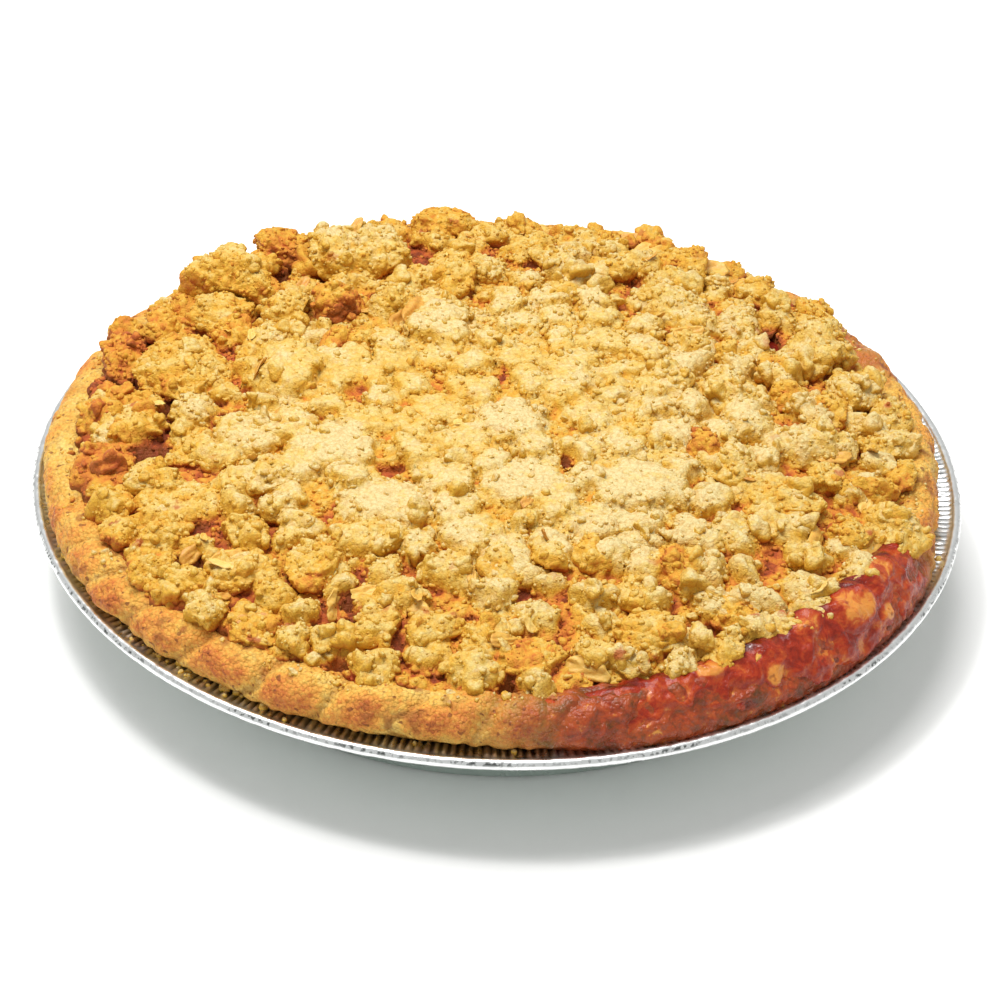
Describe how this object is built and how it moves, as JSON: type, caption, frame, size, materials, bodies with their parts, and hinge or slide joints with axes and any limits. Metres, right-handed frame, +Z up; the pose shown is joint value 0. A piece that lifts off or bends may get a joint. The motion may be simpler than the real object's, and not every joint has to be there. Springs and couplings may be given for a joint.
{
  "type": "dutch apple pie",
  "caption": "Round baked pie in its foil pan: crimped crust, apple filling welling out over the rim at one side, and a heaped oat crumb topping.",
  "frame": {"origin": "centre of the pan's flat bottom", "axes": "+Z up, out of the pan; the filling wells over the rim between +X and -Y"},
  "size_m": [0.246, 0.246, 0.0576],
  "materials": {
    "foil": "bright foil, finely wrinkled",
    "crust": "baked pastry, golden to brown, matt",
    "filling": "glossy baked apple filling, red-orange",
    "crumb": "baked crumb, pale cream to golden, matt"
  },
  "bodies": {
    "root": {"foil_pan": "foil", "pie_crust": "crust", "apple_filling": "filling", "crumb_topping": "crumb"}
  },
  "joints": []
}
